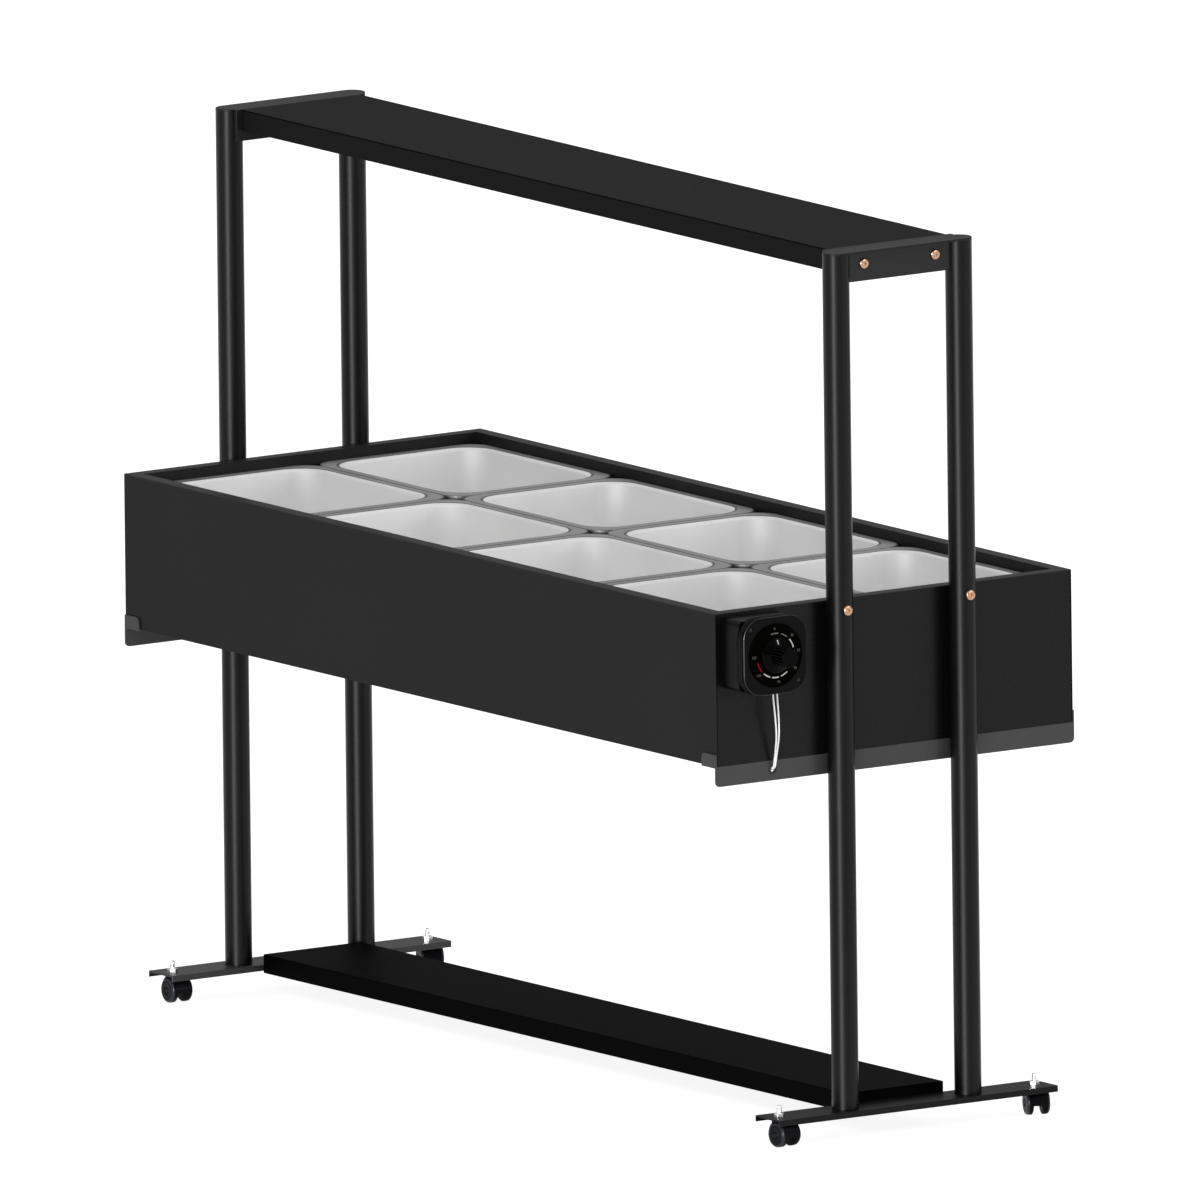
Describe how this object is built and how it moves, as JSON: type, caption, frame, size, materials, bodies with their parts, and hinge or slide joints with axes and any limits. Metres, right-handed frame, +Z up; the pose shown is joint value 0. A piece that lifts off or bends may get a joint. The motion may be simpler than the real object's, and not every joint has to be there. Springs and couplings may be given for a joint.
{
  "type": "mobile heated buffet",
  "caption": "Mobile heated buffet: a black trough with lift-out stainless pans between round-post end frames, with a serving shelf above, a storage shelf below and swivel casters.",
  "frame": {"origin": "on the floor, under the middle of the whole object's box", "axes": "+X along the length towards the thermostat's end, -Y the front long side, +Z up"},
  "size_m": [1.608, 0.604, 1.2505],
  "materials": {
    "black_powder_coat": "satin",
    "grey_coat": "satin",
    "stainless": "satin",
    "element_sheath": "dull",
    "zinc": "bright",
    "brass_finish": "bright",
    "mineral_wool": "matt",
    "black_plastic": "matt",
    "dial_face": "matt print on sheet",
    "grommet_rubber": "matt",
    "lead_sleeve": "matt",
    "caster_hood": "satin",
    "caster_wheel": "satin"
  },
  "bodies": {
    "frame": {"front_panel": "black_powder_coat", "rear_panel": "black_powder_coat", "left_end_panel": "black_powder_coat", "right_end_panel": "black_powder_coat", "bottom_panel": "black_powder_coat", "top_rim": "black_powder_coat", "well_liner": "stainless", "insulation_blanket": "mineral_wool", "pan_long_rail": "stainless", "pan_cross_rails": "stainless", "heating_element": "element_sheath", "element_supports": "zinc", "sensor_probe": "element_sheath", "front_left_post": "black_powder_coat", "rear_left_post": "black_powder_coat", "front_right_post": "black_powder_coat", "rear_right_post": "black_powder_coat", "left_base_bar": "black_powder_coat", "right_base_bar": "black_powder_coat", "left_cap": "black_powder_coat", "right_cap": "black_powder_coat", "left_crossbar": "black_powder_coat", "right_crossbar": "black_powder_coat", "left_shelf_bar": "black_powder_coat", "right_shelf_bar": "black_powder_coat", "left_bracket": "grey_coat", "right_bracket": "grey_coat", "top_shelf": "black_powder_coat", "lower_shelf": "black_powder_coat", "foot_screws": "zinc", "brass_screws": "brass_finish", "screw_nuts": "zinc", "thermostat_box": "black_powder_coat", "thermostat_cover": "black_plastic", "dial_plate": "dial_face", "cover_screws": "zinc", "thermostat_switch": "black_plastic", "terminal_block": "black_plastic", "lead_grommets": "grommet_rubber", "white_leads": "lead_sleeve", "caster_stems": "zinc", "caster_nuts": "zinc"},
    "knob": {"control_knob": "black_plastic", "dial_spindle": "zinc"},
    "front_pan_1": {"front_pan_1": "stainless"},
    "front_pan_2": {"front_pan_2": "stainless"},
    "front_pan_3": {"front_pan_3": "stainless"},
    "front_pan_4": {"front_pan_4": "stainless"},
    "rear_pan_1": {"rear_pan_1": "stainless"},
    "rear_pan_2": {"rear_pan_2": "stainless"},
    "rear_pan_3": {"rear_pan_3": "stainless"},
    "rear_pan_4": {"rear_pan_4": "stainless"},
    "front_left_swivel": {"front_left_hood": "caster_hood"},
    "front_left_roller": {"front_left_wheels": "caster_wheel"},
    "rear_left_swivel": {"rear_left_hood": "caster_hood"},
    "rear_left_roller": {"rear_left_wheels": "caster_wheel"},
    "front_right_swivel": {"front_right_hood": "caster_hood"},
    "front_right_roller": {"front_right_wheels": "caster_wheel"},
    "rear_right_swivel": {"rear_right_hood": "caster_hood"},
    "rear_right_roller": {"rear_right_wheels": "caster_wheel"}
  },
  "joints": [
    {"name": "knob_turn", "type": "hinge", "parent": "frame", "child": "knob", "pos_m": [0.76845, -0.24, 0.7005], "axis": [-1, 0, 0], "range_deg": [0, 255]},
    {"name": "front_pan_1_lift", "type": "slide", "parent": "frame", "child": "front_pan_1", "axis": [0, 0, 1], "range_m": [0, 0.16]},
    {"name": "front_pan_2_lift", "type": "slide", "parent": "frame", "child": "front_pan_2", "axis": [0, 0, 1], "range_m": [0, 0.16]},
    {"name": "front_pan_3_lift", "type": "slide", "parent": "frame", "child": "front_pan_3", "axis": [0, 0, 1], "range_m": [0, 0.16]},
    {"name": "front_pan_4_lift", "type": "slide", "parent": "frame", "child": "front_pan_4", "axis": [0, 0, 1], "range_m": [0, 0.16]},
    {"name": "rear_pan_1_lift", "type": "slide", "parent": "frame", "child": "rear_pan_1", "axis": [0, 0, 1], "range_m": [0, 0.16]},
    {"name": "rear_pan_2_lift", "type": "slide", "parent": "frame", "child": "rear_pan_2", "axis": [0, 0, 1], "range_m": [0, 0.16]},
    {"name": "rear_pan_3_lift", "type": "slide", "parent": "frame", "child": "rear_pan_3", "axis": [0, 0, 1], "range_m": [0, 0.16]},
    {"name": "rear_pan_4_lift", "type": "slide", "parent": "frame", "child": "rear_pan_4", "axis": [0, 0, 1], "range_m": [0, 0.16]},
    {"name": "front_left_swivel_turn", "type": "hinge", "parent": "frame", "child": "front_left_swivel", "pos_m": [-0.77395, -0.21475, 0.0315], "axis": [0, 0, 1], "continuous": true},
    {"name": "front_left_roll", "type": "hinge", "parent": "front_left_swivel", "child": "front_left_roller", "pos_m": [-0.76297, -0.21533, 0.0175], "axis": [0.0523, 0.9986, 0], "continuous": true},
    {"name": "rear_left_swivel_turn", "type": "hinge", "parent": "frame", "child": "rear_left_swivel", "pos_m": [-0.77395, 0.21475, 0.0315], "axis": [0, 0, 1], "continuous": true},
    {"name": "rear_left_roll", "type": "hinge", "parent": "rear_left_swivel", "child": "rear_left_roller", "pos_m": [-0.76349, 0.21135, 0.0175], "axis": [0.309, 0.9511, 0], "continuous": true},
    {"name": "front_right_swivel_turn", "type": "hinge", "parent": "frame", "child": "front_right_swivel", "pos_m": [0.72665, -0.21475, 0.0315], "axis": [0, 0, 1], "continuous": true},
    {"name": "front_right_roll", "type": "hinge", "parent": "front_right_swivel", "child": "front_right_roller", "pos_m": [0.73759, -0.2136, 0.0175], "axis": [-0.1045, 0.9945, 0], "continuous": true},
    {"name": "rear_right_swivel_turn", "type": "hinge", "parent": "frame", "child": "rear_right_swivel", "pos_m": [0.72665, 0.21475, 0.0315], "axis": [0, 0, 1], "continuous": true},
    {"name": "rear_right_roll", "type": "hinge", "parent": "rear_right_swivel", "child": "rear_right_roller", "pos_m": [0.73699, 0.21099, 0.0175], "axis": [0.342, 0.9397, 0], "continuous": true}
  ]
}
